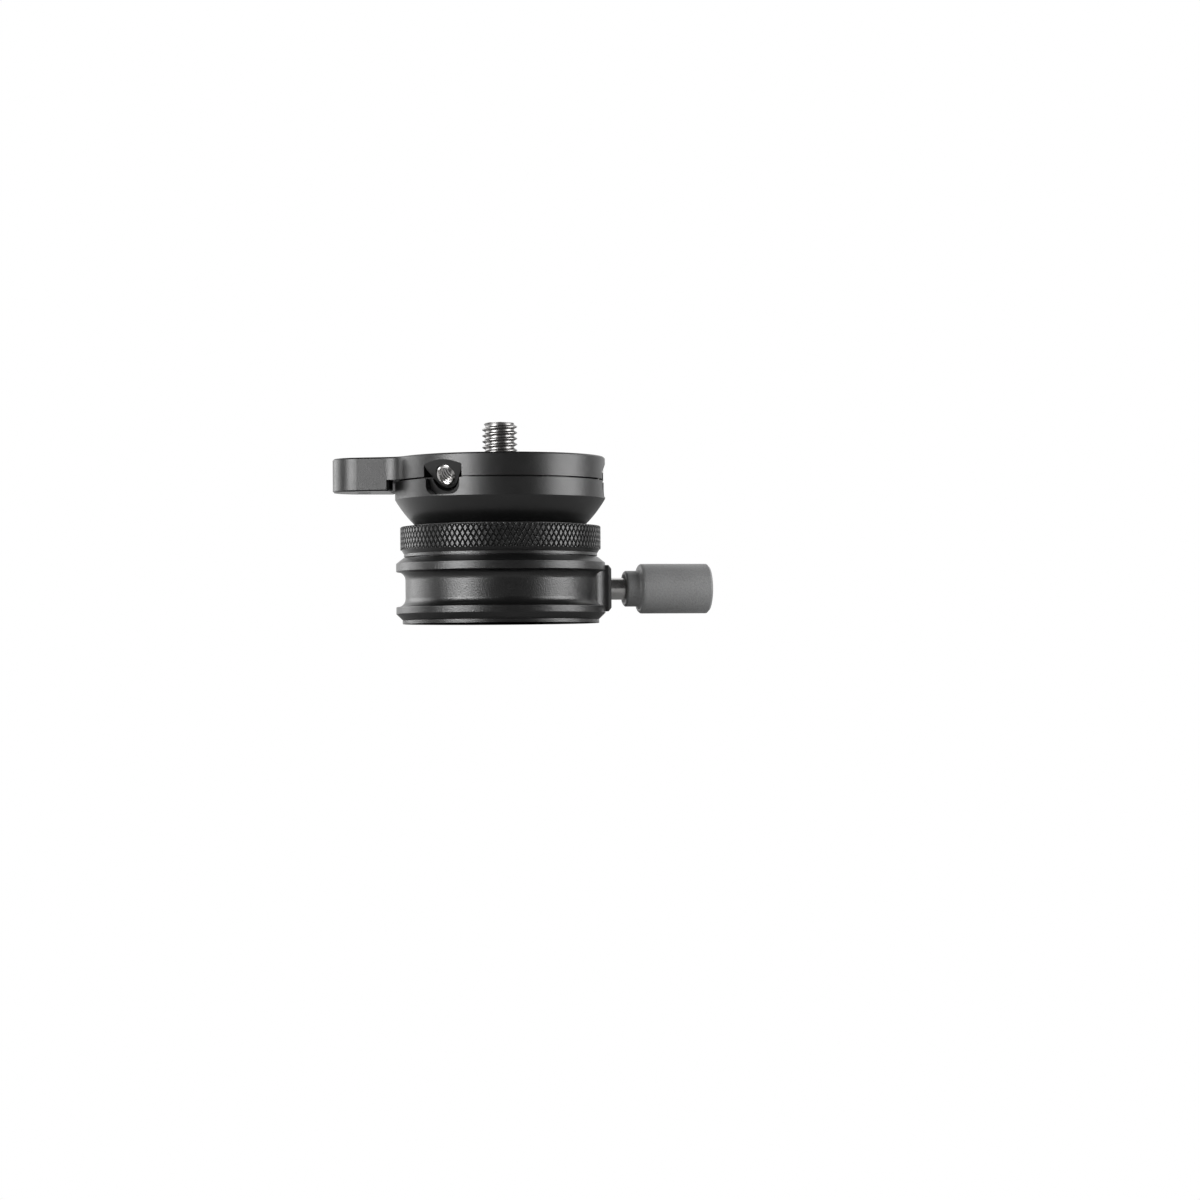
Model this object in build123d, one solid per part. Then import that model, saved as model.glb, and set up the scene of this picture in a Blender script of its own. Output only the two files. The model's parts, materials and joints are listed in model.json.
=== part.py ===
from build123d import *
import os
from math import asin, cos, degrees, radians, sin, sqrt

os.makedirs("parts", exist_ok=True)

# Tripod leveling head: a ball-seated platform over a panning base.
# Lengths are in millimetres and angles in degrees.
# The origin is the mouth of the tripod thread, at the centre of the base's bottom face.
# +Z is up, and +X runs along the pan lock's knob.

# Fits and gaps
running_gap = 0.05  # between faces that turn or slide on each other
fit_gap = 0.02  # between pieces that are screwed or pressed together
overrun = 1.0  # how far a cutter passes through what it cuts
edge_round = 0.2  # on the turned edges that a hand meets
socket_share = 0.5  # a small screw's socket as a share of its head
screw_inset = 0.1  # how far a screw's head sits below the face round it

# Body that turns on the base: two flanges with a waist between them, and a neck above
flange_radius = 28.35
waist_depth = 2.5
low_cone_height = 1.65
low_flange_height = 1.9
waist_height = 9.5
cove_land = 0.25  # flat part of a flange's face beside the waist's cove
top_flange_height = 2.2
top_bevel = 1.5
top_bevel_width = 1.9
housing_wall = 1.25  # outside the retainer's recess, at the waist
housing_floor = 3.35
floor_sink = 0.65  # depth of the floor's top below the housing's shoulder
bolt_boss_radius = 6.0
bolt_boss_drop = 1.0
neck_step = 4.4  # from the flanges' edge in to the neck
neck_wall = 2.95

# Base that stays on the tripod
base_step = 1.7  # from the flanges' edge in to the base's edge
base_rim = 0.95
base_pad_height = 3.0
base_pad_gap = 0.2
pan_gap = 0.1  # between the base and the housing that turns on it
base_screw_radius = 1.5
base_screw_head = 2.9
base_screw_length = 7.5
base_screw_count = 3

# Threaded bush that takes the tripod's stud
bush_bore = 4.8
bush_wall = 1.7
bush_flange_width = 1.5
bush_flange_height = 1.5
well_gap = 0.8  # between the bush's top and the housing's boss

# Ring that keeps the housing on the spindle
retainer_thickness = 2.8
retainer_lap = 4.6  # how far the ring reaches out past the spindle
retainer_gap = 0.2  # round the spindle's hub
retainer_screw_radius = 1.0
retainer_screw_head = 1.9
retainer_screw_length = 5.0
retainer_screw_count = 6

# Spindle that the housing turns round
hub_step = 3.2
groove_depth = 2.0
washer_margin = 0.5  # from the washer's edges to the drum's
washer_thickness = 0.5

# Flat boss on the housing that the pan lock's screw goes through
lock_boss_stand = 1.05  # how far its face stands out past the flanges
lock_boss_half_width = 7.0
lock_boss_overlap = 1.525  # how far it reaches onto each flange
lock_boss_blend = 4.0
lock_boss_bevel = 1.0

# Pan lock: shoe, screw and knob
shoe_radius = 2.5
shoe_tip = 0.5
shoe_gap = 0.1  # between the shoe's cone and the groove's flanks
shoe_reach = 5.0  # from the groove's root to the shoe's back
spigot_radius = 1.2
spigot_length = 1.4
knob_screw_radius = 3.0
knob_screw_bevel = 0.4
knob_stand = 4.8  # bare screw between the boss and the knob
knob_neck_wall = 1.9
knob_neck_length = 4.1
knob_step = 1.9
knob_round_land = 0.05
knob_length = 23.6
knob_rim_bevel = 0.4
knob_end_bevel = 0.6
knob_recess_width = 1.0
knob_socket_length = 12.0

# Lock ring on the housing's neck, and the ball's seat in it
ring_travel = 0.25  # how far the ring sinks in a quarter of a turn
ring_clearance = 0.1  # what is left under it then
ring_step = 1.2  # from the flanges' edge in to the ring's crests
ring_foot_step = 0.95
ring_foot_height = 0.75
ring_cone_height = 1.1
ring_lip_width = 2.0
ring_lip_thickness = 1.1
ring_edge = 0.25
seat_step = 0.2  # from the neck out to the seat's edge
seat_wall = 1.5  # at the ring's top
seat_depth = 2.0  # how deep the seat sits in the ring
seat_stand = 0.3  # how far it stands out of the ring

# Platform and ball joint
platform_radius = 28.5
ball_overhang = 4.5  # from the platform's edge out to the ball's full radius
bowl_wall = 4.0
bowl_opening_angle = 25.0
bowl_floor_gap = 3.2  # from the housing's floor up to the bowl's opening
liner_thickness = 0.95
liner_margin = 1.0
cap_thickness = 2.95
cap_angle = 40.0
cap_margin = 3.0
cap_boss_radius = 8.0
cap_boss_rise = 5.0

# Bolt, washer and disc springs that hold the ball down
bolt_thread_radius = 3.0
bolt_shoulder_radius = 4.0
bolt_head_radius = 7.0
bolt_head_height = 4.0
bolt_socket_radius = 3.4
bolt_socket_depth = 2.6
thrust_thickness = 0.5
spring_inset = 0.2
spring_thickness = 0.5
spring_cone = 0.35

# Bowl's rim and the plate on it
bowl_rim_height = 5.14
bowl_rim_wall = 4.6
bowl_lip_height = 3.6
seam_gap = 0.45  # height of the shadow gap under the plate's edge
seam_depth = 3.0
plate_thickness = 6.15
plate_edge = 0.4
plate_spigot_height = 1.0
plate_spigot_wall = 2.6
plate_screw_radius = 1.0
plate_screw_head = 1.9
plate_screw_length = 8.4
plate_screw_count = 3

# Lug with the bubble level
lug_heading = 166.5
lug_offset = 8.4  # from the platform's edge out to the level's centre
lug_radius = 8.6
lug_taper = 9.0  # of each side, towards the lug's end
lug_drop = 3.0
lug_clearance = 0.8  # between the lug's deep part and the bowl
lug_cut_step = 1.3  # from the platform's edge out to the deep part's side corners
lug_cut_start = 5.0  # half of the deep part's width that follows the bowl
lug_end_bevel = 0.6  # on the deep part's corners beside the bowl
lug_blend = 7.0
lug_hole_radius = 2.0
vial_radius = 6.0
vial_height = 6.0
vial_base_thickness = 0.8
vial_wall = 1.1
vial_top = 0.8
vial_crown_radius = 22.0
bubble_radius = 1.6
bubble_depth = 0.7
target_radius = 2.6
target_width = 0.3
target_thickness = 0.2

# Pockets and screws that stop the mounted head from turning
pocket_headings = (60, 180, 300)
screw_tilt = 26.0
screw_end_inset = 1.6  # from the platform's edge in to the screw's outer end
screw_end_rise = 0.05  # height of the screw's outer end over the seam
set_screw_radius = 3.0
set_screw_length = 8.0
set_screw_bevel = 0.65
set_screw_socket_radius = 1.73
set_screw_socket_depth = 3.5
set_screw_stand = 0.5  # how far the screw stands out of its boss
set_screw_hole_depth = 12.5
pocket_half_width = 6.0
pocket_deep = 2.0  # how far in the hollows beside the boss reach
pocket_boss_wall = 0.6
pocket_boss_slope = 57.0
pocket_boss_length = 9.5
bowl_pocket_step = 0.65
bowl_pocket_depth = 2.0  # at the seam
bowl_pocket_tilt = 15.0  # of its back wall, inwards and down
bowl_pocket_drop = 4.75
bowl_pocket_corner = 2.5
bowl_pocket_gap = 0.6  # round the boss where it passes through the bowl

# Stud that the mounted head screws onto
stud_radius = 4.7625
stud_length = 9.5
stud_bevel = 0.8
stud_shoulder = 0.2  # how much wider the stud is inside the plate
stud_gap = 0.04
stud_hex_radius = 8.0
stud_hex_height = 2.0
keeper_width = 4.0
keeper_thickness = 1.5
keeper_screw_radius = 1.0
keeper_screw_head = 1.9
keeper_screw_length = 4.6
keeper_screw_count = 3

# Radii that follow from the body's
base_radius = flange_radius - base_step
waist_radius = flange_radius - waist_depth
cove_radius = waist_depth - cove_land
retainer_radius = waist_radius - housing_wall
spindle_radius = retainer_radius - retainer_lap
cavity_radius = spindle_radius + 2 * running_gap
hub_radius = spindle_radius - hub_step
retainer_bore = hub_radius + retainer_gap
retainer_screw_circle = (cavity_radius + retainer_radius) / 2
base_pad_radius = hub_radius - base_pad_gap
bush_radius = bush_bore + bush_wall
bush_flange = bush_radius + bush_flange_width
washer_inner = bush_flange + washer_margin
washer_outer = spindle_radius - washer_margin
base_screw_circle = (bush_flange + hub_radius) / 2
neck_radius = flange_radius - neck_step
neck_bore = neck_radius - neck_wall
ring_radius = flange_radius - ring_step
ring_foot_radius = ring_radius - ring_foot_step
ring_bore = neck_radius + running_gap
ring_lip_bore = ring_bore - ring_lip_width
seat_radius = neck_radius + seat_step
ring_recess = seat_radius + running_gap

# Places along the pan lock's axis
groove_root = spindle_radius - groove_depth
shoe_back = groove_root + shoe_reach
lock_boss_face = flange_radius + lock_boss_stand
knob_front = lock_boss_face + knob_stand
knob_neck_radius = knob_screw_radius + knob_neck_wall
knob_radius = knob_neck_radius + knob_step
knob_round = knob_step / 2 - knob_round_land
knob_recess_radius = knob_screw_radius + knob_recess_width

# Radii that follow from the platform's
ball_radius = platform_radius + ball_overhang
bowl_inner_radius = ball_radius - bowl_wall
liner_outer = bowl_inner_radius - running_gap
liner_inner = liner_outer - liner_thickness
liner_low_angle = bowl_opening_angle + liner_margin
liner_high_angle = cap_angle + cap_margin
cap_outer = liner_inner - running_gap
cap_inner = cap_outer - cap_thickness
cap_bore = bolt_shoulder_radius + running_gap
spring_radius = cap_boss_radius - spring_inset
bowl_lip_bore = platform_radius - bowl_rim_wall
plate_screw_circle = (bowl_lip_bore + platform_radius) / 2
lug_reach = platform_radius + lug_offset
screw_end_reach = platform_radius - screw_end_inset
pocket_boss_radius = set_screw_radius + pocket_boss_wall
bowl_pocket_half_width = pocket_half_width - bowl_pocket_step
bowl_pocket_back = platform_radius - bowl_pocket_depth
bowl_pocket_hole = pocket_boss_radius + bowl_pocket_gap
stud_shank_radius = stud_radius + stud_shoulder
keeper_radius = stud_hex_radius + keeper_width
keeper_screw_circle = (stud_hex_radius + keeper_radius) / 2

# Heights of the stack, from the base upwards
housing_bottom = base_rim + pan_gap
retainer_top = housing_bottom + retainer_thickness
spindle_bottom = retainer_top + pan_gap
low_flange_bottom = housing_bottom + low_cone_height
waist_bottom = low_flange_bottom + low_flange_height
waist_top = waist_bottom + waist_height
knob_height = (waist_bottom + waist_top) / 2
lock_boss_half_height = waist_height / 2 + lock_boss_overlap
top_flange_top = waist_top + top_flange_height
housing_top = top_flange_top + top_bevel
floor_top = housing_top - floor_sink
ceiling = floor_top - housing_floor
spindle_top = ceiling - running_gap - washer_thickness
bolt_boss_bottom = ceiling - bolt_boss_drop
bush_length = bolt_boss_bottom - well_gap
ball_height = floor_top + bowl_floor_gap + ball_radius * cos(radians(bowl_opening_angle))
ring_gap = ring_travel + ring_clearance
ring_bottom = housing_top + ring_gap
ring_top = ball_height - sqrt(ball_radius**2 - (seat_radius - seat_wall) ** 2)
seat_bottom = ring_top - seat_depth
seat_height = seat_depth + seat_stand
lip_bottom = seat_bottom - ring_lip_thickness
neck_top = lip_bottom - ring_gap
cap_bottom = ball_height - cap_outer
cap_top = cap_bottom + cap_boss_rise
spring_height = spring_thickness + spring_cone
bolt_head_bottom = cap_top + thrust_thickness + 2 * (spring_height + fit_gap)
bowl_corner = ball_height - sqrt(ball_radius**2 - platform_radius**2)
seam_height = bowl_corner + bowl_rim_height
plate_top = seam_height + plate_thickness
lug_bottom = seam_height - lug_drop
keeper_top = seam_height + keeper_thickness
hex_top = keeper_top + stud_hex_height
vial_top_height = plate_top - screw_inset
vial_bottom = vial_top_height - vial_height
vial_floor = vial_bottom + vial_base_thickness
vial_roof = vial_top_height - vial_top


def turned(*outline, rounds=None):
    """A solid turned about Z from the (radius, height) corners of its section."""
    if rounds:
        radii = [rounds.get(index, 0) for index in range(len(outline))]
        return revolve(Plane.XZ * make_face(FilletPolyline(*outline, radius=radii, close=True)), Axis.Z)
    return revolve(Plane.XZ * make_face(Polyline(*outline, close=True)), Axis.Z)


def along_x(piece):
    """Lay a piece turned about Z along the pan lock's axis, its heights becoming places along X."""
    return Pos(0, 0, knob_height) * Rot(0, 90, 0) * piece


def ring_of(piece, circle, count, height):
    """Copies of a piece on a circle round Z."""
    return Part() + [
        Rot(0, 0, 360 * index / count) * Pos(circle, 0, height) * piece for index in range(count)
    ]


def on_ball(radius, angle):
    """The (radius, height) of a point on a sphere about the ball's centre, from its lowest point."""
    return radius * sin(radians(angle)), ball_height - radius * cos(radians(angle))


def ball_arc(radius, start, end):
    """An arc of a sphere's section between two angles from its lowest point."""
    return ThreePointArc(on_ball(radius, start), on_ball(radius, (start + end) / 2), on_ball(radius, end))


def ball_angle(radius, reach):
    """The angle at which a sphere about the ball's centre is as wide as a given radius."""
    return degrees(asin(reach / radius))


def flat_screw(shank, head, length):
    """A countersunk screw with its head's face at zero and its shank along +Z."""
    body = turned((0, 0), (head, 0), (shank, head - shank), (shank, length), (0, length))
    return body - extrude(RegularPolygon(head * socket_share, 6), head - shank)


def flat_screw_cut(shank, head, length):
    """The hole that a countersunk screw sits in, open past its head's face."""
    wide = head + fit_gap
    narrow = shank + fit_gap
    end = length + fit_gap
    return turned((0, -overrun), (wide, -overrun), (wide, 0), (narrow, head - shank), (narrow, end), (0, end))


def base_plate():
    """Round plate that stands on the tripod's own plate."""
    bore = bush_radius + fit_gap
    plate = turned(
        (bore, 0), (base_radius, 0), (base_radius, base_rim), (base_pad_radius, base_rim),
        (base_pad_radius, base_pad_height), (bore, base_pad_height),
    )
    cut = flat_screw_cut(base_screw_radius, base_screw_head, base_screw_length)
    return plate - ring_of(cut, base_screw_circle, base_screw_count, screw_inset)


def base_screws():
    screw = flat_screw(base_screw_radius, base_screw_head, base_screw_length)
    return ring_of(screw, base_screw_circle, base_screw_count, screw_inset)


def tripod_bush():
    """Threaded bush, flanged at the top so that the tripod's stud can't pull it out."""
    flange_bottom = bush_length - bush_flange_height
    return turned(
        (bush_bore, 0), (bush_radius, 0), (bush_radius, flange_bottom), (bush_flange, flange_bottom),
        (bush_flange, bush_length), (bush_bore, bush_length),
    )


def spindle():
    """Drum that the housing turns round, with the groove that the pan lock's shoe grips."""
    bore = bush_radius + fit_gap
    well = bush_flange + fit_gap
    well_bottom = bush_length - bush_flange_height
    drum = turned(
        (bore, base_pad_height), (hub_radius, base_pad_height), (hub_radius, spindle_bottom),
        (spindle_radius, spindle_bottom), (spindle_radius, knob_height - groove_depth),
        (groove_root, knob_height), (spindle_radius, knob_height + groove_depth),
        (spindle_radius, spindle_top), (well, spindle_top), (well, well_bottom), (bore, well_bottom),
    )
    cut = flat_screw_cut(base_screw_radius, base_screw_head, base_screw_length)
    return drum - ring_of(cut, base_screw_circle, base_screw_count, screw_inset)


def flat_ring(inner, outer, bottom, top):
    return turned((inner, bottom), (outer, bottom), (outer, top), (inner, top))


def pan_washer():
    return flat_ring(washer_inner, washer_outer, spindle_top, spindle_top + washer_thickness)


def pan_retainer():
    """Ring screwed into the housing's mouth, under the spindle's drum."""
    ring = flat_ring(retainer_bore, retainer_radius, housing_bottom, retainer_top)
    cut = flat_screw_cut(retainer_screw_radius, retainer_screw_head, retainer_screw_length)
    return ring - ring_of(cut, retainer_screw_circle, retainer_screw_count, housing_bottom + screw_inset)


def pan_retainer_screws():
    screw = flat_screw(retainer_screw_radius, retainer_screw_head, retainer_screw_length)
    return ring_of(screw, retainer_screw_circle, retainer_screw_count, housing_bottom + screw_inset)


def lock_boss():
    """Flat-faced boss that bridges the waist, blended into it on both sides."""
    inner = waist_radius - lock_boss_half_width
    plan = Circle(waist_radius) + Pos((inner + lock_boss_face) / 2, 0) * Rectangle(
        lock_boss_face - inner, 2 * lock_boss_half_width
    )
    joints = [
        corner for corner in plan.vertices()
        if corner.X < lock_boss_face - lock_boss_bevel and abs(corner.Y) > lock_boss_half_width / 2
    ]
    plan = fillet(joints, lock_boss_blend)
    boss = Pos(0, 0, knob_height - lock_boss_half_height) * extrude(plan, 2 * lock_boss_half_height)
    face = boss.faces().sort_by(Axis.X)[-1]
    return chamfer(face.edges(), lock_boss_bevel)


def housing():
    """Body that turns on the base and carries the ball's seat on its neck."""
    bolt_bore = bolt_thread_radius + fit_gap
    recess = retainer_radius + running_gap
    shell = turned(
        (base_radius, housing_bottom), (flange_radius, low_flange_bottom), (flange_radius, waist_bottom),
        (waist_radius, waist_bottom), (waist_radius, waist_top), (flange_radius, waist_top),
        (flange_radius, top_flange_top), (flange_radius - top_bevel_width, housing_top),
        (neck_radius, housing_top), (neck_radius, neck_top), (neck_bore, neck_top), (neck_bore, floor_top),
        (bolt_bore, floor_top), (bolt_bore, bolt_boss_bottom), (bolt_boss_radius, bolt_boss_bottom),
        (bolt_boss_radius, ceiling), (cavity_radius, ceiling), (cavity_radius, retainer_top),
        (recess, retainer_top), (recess, housing_bottom),
        rounds={1: edge_round, 2: edge_round, 3: cove_radius, 4: cove_radius, 5: edge_round, 6: edge_round},
    )
    core = Pos(0, 0, knob_height) * Cylinder(recess, 2 * neck_top)
    screw_bore = knob_screw_radius + running_gap
    shoe_bore = shoe_radius + running_gap
    lock_bore = along_x(turned(
        (0, groove_root), (shoe_bore, groove_root), (shoe_bore, shoe_back), (screw_bore, shoe_back),
        (screw_bore, lock_boss_face + overrun), (0, lock_boss_face + overrun),
    ))
    cut = flat_screw_cut(retainer_screw_radius, retainer_screw_head, retainer_screw_length)
    cuts = ring_of(cut, retainer_screw_circle, retainer_screw_count, housing_bottom + screw_inset)
    return shell + (lock_boss() - core) - lock_bore - cuts


def brake_shoe():
    """Cone-tipped shoe that presses into the spindle's groove."""
    tip = groove_root + shoe_gap + shoe_tip
    shoulder = tip + shoe_radius - shoe_tip
    hole = spigot_radius + running_gap
    hole_end = shoe_back - spigot_length - running_gap
    return along_x(turned(
        (0, tip), (shoe_tip, tip), (shoe_radius, shoulder), (shoe_radius, shoe_back),
        (hole, shoe_back), (hole, hole_end), (0, hole_end),
    ))


def knob_screw():
    """Pan lock's screw, with a spigot that carries the shoe."""
    start = shoe_back + running_gap
    end = knob_front + knob_socket_length
    return along_x(turned(
        (0, start - spigot_length), (spigot_radius, start - spigot_length), (spigot_radius, start),
        (knob_screw_radius - knob_screw_bevel, start), (knob_screw_radius, start + knob_screw_bevel),
        (knob_screw_radius, end), (0, end),
    ))


def lock_knob():
    """Plain round knob with a thinner neck, pressed onto its screw."""
    bore = knob_screw_radius + fit_gap
    bore_end = knob_front + knob_socket_length + fit_gap
    recess_end = knob_front + knob_recess_radius - bore
    shoulder = knob_front + knob_neck_length
    end = knob_front + knob_length
    return along_x(turned(
        (bore, recess_end), (knob_recess_radius, knob_front),
        (knob_neck_radius - knob_rim_bevel, knob_front), (knob_neck_radius, knob_front + knob_rim_bevel),
        (knob_neck_radius, shoulder), (knob_radius, shoulder), (knob_radius, end - knob_end_bevel),
        (knob_radius - knob_end_bevel, end), (0, end), (0, bore_end), (bore, bore_end),
        rounds={4: knob_round, 5: knob_round},
    ))


def lock_ring():
    """Knurled ring that lifts the seat against the ball; its crests are at full radius here."""
    foot_top = ring_bottom + ring_foot_height
    knurl_bottom = foot_top + ring_cone_height
    return turned(
        (ring_bore, ring_bottom), (ring_foot_radius, ring_bottom), (ring_foot_radius, foot_top),
        (ring_radius, knurl_bottom), (ring_radius, ring_top - ring_edge), (ring_radius - ring_edge, ring_top),
        (ring_recess, ring_top), (ring_recess, seat_bottom), (ring_lip_bore, seat_bottom),
        (ring_lip_bore, lip_bottom), (ring_bore, lip_bottom),
    )


def seat_ring():
    """Ring with a hollow spherical face that the ball rests in."""
    blank = Pos(0, 0, seat_bottom + seat_height / 2) * Cylinder(seat_radius, seat_height)
    return blank - Pos(0, 0, ball_height) * Sphere(ball_radius + running_gap)


def hold_down_cap():
    """Spherical cap inside the bowl that pulls the ball down into its seat."""
    low = ball_angle(cap_outer, cap_bore)
    meet = ball_angle(cap_inner, cap_boss_radius)
    top_outer = (cap_boss_radius, cap_top)
    top_inner = (cap_bore, cap_top)
    section = make_face([
        ball_arc(cap_outer, low, cap_angle),
        Line(on_ball(cap_outer, cap_angle), on_ball(cap_inner, cap_angle)),
        ball_arc(cap_inner, meet, cap_angle),
        Line(on_ball(cap_inner, meet), top_outer),
        Line(top_outer, top_inner),
        Line(top_inner, on_ball(cap_outer, low)),
    ])
    return revolve(Plane.XZ * section, Axis.Z)


def friction_liner():
    """Thin spherical band between the cap and the bowl."""
    section = make_face([
        ball_arc(liner_outer, liner_low_angle, liner_high_angle),
        Line(on_ball(liner_outer, liner_high_angle), on_ball(liner_inner, liner_high_angle)),
        ball_arc(liner_inner, liner_low_angle, liner_high_angle),
        Line(on_ball(liner_inner, liner_low_angle), on_ball(liner_outer, liner_low_angle)),
    ])
    return revolve(Plane.XZ * section, Axis.Z)


def thrust_washer():
    return flat_ring(cap_bore, cap_boss_radius, cap_top, cap_top + thrust_thickness)


def disc_springs():
    """Two coned washers, back to back."""
    low = turned(
        (cap_bore, spring_cone), (spring_radius, 0), (spring_radius, spring_thickness),
        (cap_bore, spring_height),
    )
    bottom = cap_top + thrust_thickness + fit_gap
    high = Pos(0, 0, bottom + 2 * spring_height + fit_gap) * Rot(180, 0, 0) * low
    return Part() + [Pos(0, 0, bottom) * low, high]


def centre_bolt():
    """Shoulder bolt from the housing's floor, with its head over the disc springs."""
    head_top = bolt_head_bottom + bolt_head_height
    bolt = turned(
        (0, bolt_boss_bottom), (bolt_thread_radius, bolt_boss_bottom), (bolt_thread_radius, floor_top),
        (bolt_shoulder_radius, floor_top), (bolt_shoulder_radius, bolt_head_bottom),
        (bolt_head_radius, bolt_head_bottom), (bolt_head_radius, head_top), (0, head_top),
    )
    socket = extrude(RegularPolygon(bolt_socket_radius, 6), bolt_socket_depth + overrun)
    return bolt - Pos(0, 0, head_top - bolt_socket_depth) * socket


def pocket_plane(depth):
    """Plane square to an anti-twist screw, so far in from its outer end; its Y runs up the pocket."""
    tilt = radians(screw_tilt)
    origin = (screw_end_reach - depth * cos(tilt), 0, seam_height + screw_end_rise + depth * sin(tilt))
    return Plane(origin=origin, x_dir=(0, 1, 0), z_dir=(cos(tilt), 0, -sin(tilt)))


def pocket_mouth():
    """Outline of the plate's pocket, whose slanted face meets the rim in an arch."""
    return Rectangle(2 * pocket_half_width, 2 * plate_thickness)


def pocket_boss():
    """Outline of the boss in the pocket: round under the screw, with flanks that rise to the walls."""
    slope = radians(pocket_boss_slope)
    foot = (pocket_boss_radius * sin(slope), -pocket_boss_radius * cos(slope))
    run = (pocket_half_width - foot[0]) / cos(slope)
    side = (pocket_half_width, foot[1] + run * sin(slope))
    wedge = make_face(Polyline(
        foot, side, (pocket_half_width, plate_thickness), (-pocket_half_width, plate_thickness),
        (-side[0], side[1]), (-foot[0], foot[1]), close=True,
    ))
    return (wedge + Circle(pocket_boss_radius)) & pocket_mouth()


def round_pockets(cutter):
    """One copy of a cutter at each pocket."""
    return [Rot(0, 0, heading) * cutter for heading in pocket_headings]


def plate_screw_places(piece):
    """Copies of a piece with its face under the plate's top and its shank pointing down."""
    return ring_of(Rot(180, 0, 0) * piece, plate_screw_circle, plate_screw_count, plate_top - screw_inset)


def dome_bowl():
    """Ball-shaped bowl with a short straight rim, open below for the bolt and above for the plate."""
    corner = ball_angle(ball_radius, platform_radius)
    lip_bottom_height = seam_height - bowl_lip_height
    inner_reach = sqrt(bowl_inner_radius**2 - (ball_height - lip_bottom_height) ** 2)
    inner_end = ball_angle(bowl_inner_radius, inner_reach)
    gap_bottom = seam_height - seam_gap
    gap_reach = platform_radius - seam_depth
    rim = [
        on_ball(ball_radius, corner), (platform_radius, gap_bottom), (gap_reach, gap_bottom),
        (gap_reach, seam_height), (bowl_lip_bore, seam_height), (bowl_lip_bore, lip_bottom_height),
        (inner_reach, lip_bottom_height),
    ]
    section = make_face([
        ball_arc(ball_radius, bowl_opening_angle, corner),
        Polyline(*rim),
        ball_arc(bowl_inner_radius, bowl_opening_angle, inner_end),
        Line(on_ball(bowl_inner_radius, bowl_opening_angle), on_ball(ball_radius, bowl_opening_angle)),
    ])
    bowl = revolve(Plane.XZ * section, Axis.Z)
    outline = Rectangle(2 * bowl_pocket_half_width, 2 * bowl_pocket_drop)
    outline = fillet(outline.vertices(), bowl_pocket_corner)
    tilt = radians(bowl_pocket_tilt)
    level_wall = Plane(origin=(0, 0, seam_height), x_dir=(0, 1, 0), z_dir=(1, 0, 0))
    back = (bowl_pocket_back, 0, seam_height)
    slant_wall = Plane(origin=back, x_dir=(0, 1, 0), z_dir=(cos(tilt), 0, -sin(tilt)))
    open_side = extrude(slant_wall * Rectangle(ball_radius, ball_radius), ball_radius)
    mouth = extrude(level_wall * outline, platform_radius + overrun) & open_side
    reach = platform_radius - bowl_lip_bore + pocket_boss_length
    hole = extrude(pocket_plane(pocket_boss_length) * Circle(bowl_pocket_hole), reach)
    flanks = offset(pocket_boss(), bowl_pocket_gap / 2)
    hole += extrude(pocket_plane(set_screw_stand + pocket_deep + fit_gap) * flanks, pocket_deep + reach)
    hole -= open_side
    cut = flat_screw_cut(plate_screw_radius, plate_screw_head, plate_screw_length)
    return bowl - round_pockets(mouth + hole) - plate_screw_places(cut)


def lug_plan():
    """Plan of the plate with its tapered lug, whose sides blend into the rim."""
    taper = radians(lug_taper)
    near = (lug_radius + lug_reach * sin(taper)) / cos(taper)
    far_x = lug_reach + lug_radius * sin(taper)
    far_y = lug_radius * cos(taper)
    bar = make_face(Polyline((0, near), (far_x, far_y), (far_x, -far_y), (0, -near), close=True))
    plan = Circle(platform_radius) + bar + Pos(lug_reach, 0) * Circle(lug_radius)
    joints = [corner for corner in plan.vertices() if 0 < corner.X < lug_reach - lug_radius / 2]
    return fillet(joints, lug_blend)


def lug_deep_plan():
    """Plan of the lug's deep part, which follows the bowl and is cut back at both sides."""
    near = (platform_radius, lug_cut_start)
    far = (platform_radius + 2 * lug_cut_step, 2 * lug_radius)
    cut = make_face(Polyline((0, lug_cut_start), near, far, (0, 2 * lug_radius), close=True))
    deep = lug_plan() - Circle(platform_radius + lug_clearance) - cut - mirror(cut, Plane.XZ)
    corners = deep.vertices().filter_by(lambda v: abs(v.Y) > lug_radius and v.X < lug_reach - lug_offset / 2)
    return chamfer(corners, lug_end_bevel)


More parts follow.
